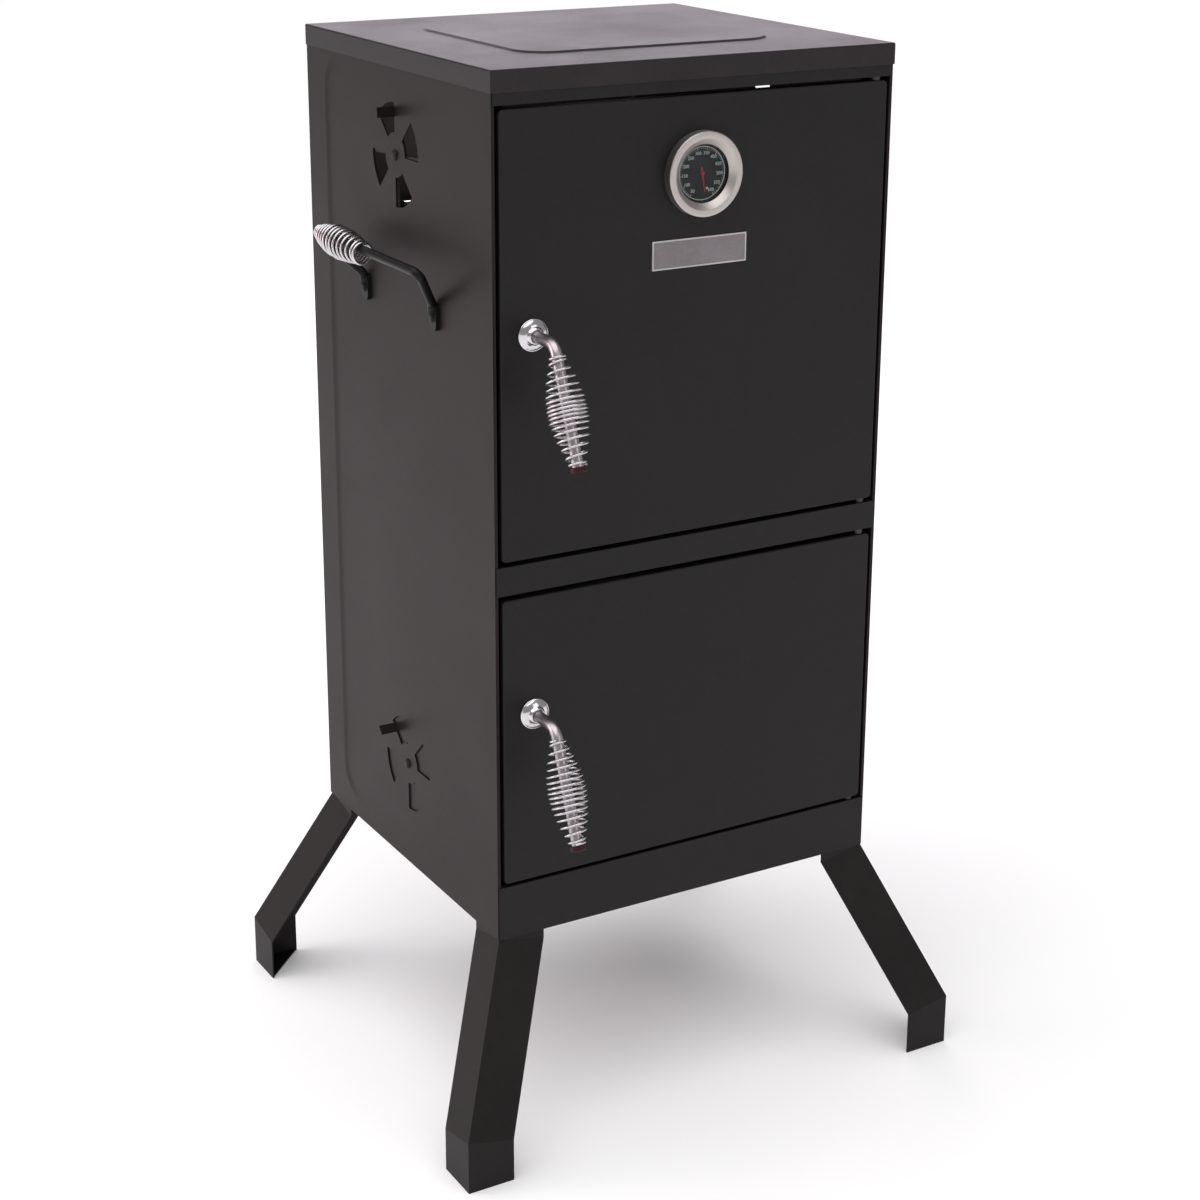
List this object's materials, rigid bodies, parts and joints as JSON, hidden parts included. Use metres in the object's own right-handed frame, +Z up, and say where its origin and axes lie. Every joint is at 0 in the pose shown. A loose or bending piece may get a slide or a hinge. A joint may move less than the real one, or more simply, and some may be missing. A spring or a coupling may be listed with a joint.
{
  "type": "vertical water smoker",
  "caption": "Upright sheet-steel water smoker on splayed legs, with stacked side-hinged doors, coil-grip handles, turning air dampers, dial thermometer, grates, water pan and charcoal pan.",
  "frame": {"origin": "centre of the whole footprint on the floor", "axes": "+X to the right seen from the front, +Y towards the back, +Z up; the doors face -Y"},
  "size_m": [0.523, 0.5096, 0.9685],
  "materials": {
    "cabinet_paint": "satin, fine texture",
    "door_paint": "satin, fine texture",
    "leg_paint": "satin, fine texture",
    "bar_paint": "gloss black",
    "chrome": "polished plating",
    "zinc": "bright zinc",
    "bezel_steel": "turned steel",
    "plate_metal": "dull grey with a bright border",
    "dial_black": "matt black",
    "needle_red": "red",
    "lens": "clear",
    "cap_red": "dark red",
    "grate_plating": "bright plated wire",
    "enamel": "gloss enamel"
  },
  "bodies": {
    "cabinet": {"top_cover": "cabinet_paint", "left_side_panel": "cabinet_paint", "right_side_panel": "cabinet_paint", "back_panel": "cabinet_paint", "floor_panel": "cabinet_paint", "upper_front_band": "door_paint", "middle_rail": "door_paint", "lower_front_band": "door_paint", "back_rivets": "cabinet_paint", "front_left_leg": "leg_paint", "front_right_leg": "leg_paint", "rear_left_leg": "leg_paint", "rear_right_leg": "leg_paint", "leg_studs": "zinc", "leg_nuts": "zinc", "hinge_pins": "zinc", "damper_rivets": "cabinet_paint", "left_lift_handle": "bar_paint", "right_lift_handle": "bar_paint", "lift_handle_screws": "zinc", "left_ledges": "cabinet_paint", "right_ledges": "cabinet_paint", "lower_grate": "grate_plating", "middle_grate": "grate_plating", "upper_grate": "grate_plating", "water_pan": "enamel", "charcoal_pan": "enamel", "charcoal_grate": "bar_paint"},
    "upper_door": {"upper_door": "door_paint", "upper_door_rosette": "chrome", "thermometer_case": "bezel_steel", "thermometer_bezel": "bezel_steel", "thermometer_dial": "dial_black", "thermometer_lens": "lens", "thermometer_stem": "zinc", "thermometer_nut": "zinc", "name_plate": "plate_metal"},
    "lower_door": {"lower_door": "door_paint", "lower_door_rosette": "chrome"},
    "upper_latch": {"upper_door_lever": "chrome", "upper_door_grip": "chrome", "upper_grip_cap": "cap_red", "upper_latch_tongue": "zinc", "upper_latch_nut": "zinc"},
    "lower_latch": {"lower_door_lever": "chrome", "lower_door_grip": "chrome", "lower_grip_cap": "cap_red", "lower_latch_tongue": "zinc", "lower_latch_nut": "zinc"},
    "needle": {"thermometer_needle": "needle_red"},
    "left_upper_damper": {"left_upper_damper": "cabinet_paint"},
    "right_upper_damper": {"right_upper_damper": "cabinet_paint"},
    "left_lower_damper": {"left_lower_damper": "cabinet_paint"},
    "right_lower_damper": {"right_lower_damper": "cabinet_paint"},
    "left_lift_grip": {"left_lift_grip": "chrome"},
    "right_lift_grip": {"right_lift_grip": "chrome"}
  },
  "joints": [
    {"name": "upper_door_hinge", "type": "hinge", "parent": "cabinet", "child": "upper_door", "pos_m": [0.1822, -0.16357, 0.7445], "axis": [0, 0, 1], "range_deg": [0, 115]},
    {"name": "lower_door_hinge", "type": "hinge", "parent": "cabinet", "child": "lower_door", "pos_m": [0.1822, -0.16357, 0.38725], "axis": [0, 0, 1], "range_deg": [0, 115]},
    {"name": "upper_latch_turn", "type": "hinge", "parent": "upper_door", "child": "upper_latch", "pos_m": [-0.161, -0.17007, 0.7485], "axis": [0, -1, 0], "range_deg": [0, 90]},
    {"name": "lower_latch_turn", "type": "hinge", "parent": "lower_door", "child": "lower_latch", "pos_m": [-0.161, -0.17007, 0.41225], "axis": [0, -1, 0], "range_deg": [0, 90]},
    {"name": "needle_turn", "type": "hinge", "parent": "upper_door", "child": "needle", "pos_m": [0.00025, -0.17207, 0.8695], "axis": [0, 1, 0], "range_deg": [0, 300], "stiffness_Nm_per_rad": 0.001},
    {"name": "left_upper_damper_turn", "type": "hinge", "parent": "cabinet", "child": "left_upper_damper", "pos_m": [-0.1941, 0.01293, 0.873], "axis": [1, 0, 0], "range_deg": [-41.5, 0]},
    {"name": "left_lower_damper_turn", "type": "hinge", "parent": "cabinet", "child": "left_lower_damper", "pos_m": [-0.1941, 0.01293, 0.302], "axis": [1, 0, 0], "range_deg": [0, 41.5]},
    {"name": "left_lift_grip_slide", "type": "slide", "parent": "cabinet", "child": "left_lift_grip", "axis": [0, -1, 0], "range_m": [0, 0.097]},
    {"name": "right_upper_damper_turn", "type": "hinge", "parent": "cabinet", "child": "right_upper_damper", "pos_m": [0.1941, 0.01293, 0.873], "axis": [1, 0, 0], "range_deg": [-41.5, 0]},
    {"name": "right_lower_damper_turn", "type": "hinge", "parent": "cabinet", "child": "right_lower_damper", "pos_m": [0.1941, 0.01293, 0.302], "axis": [1, 0, 0], "range_deg": [0, 41.5]},
    {"name": "right_lift_grip_slide", "type": "slide", "parent": "cabinet", "child": "right_lift_grip", "axis": [0, -1, 0], "range_m": [0, 0.097]}
  ]
}
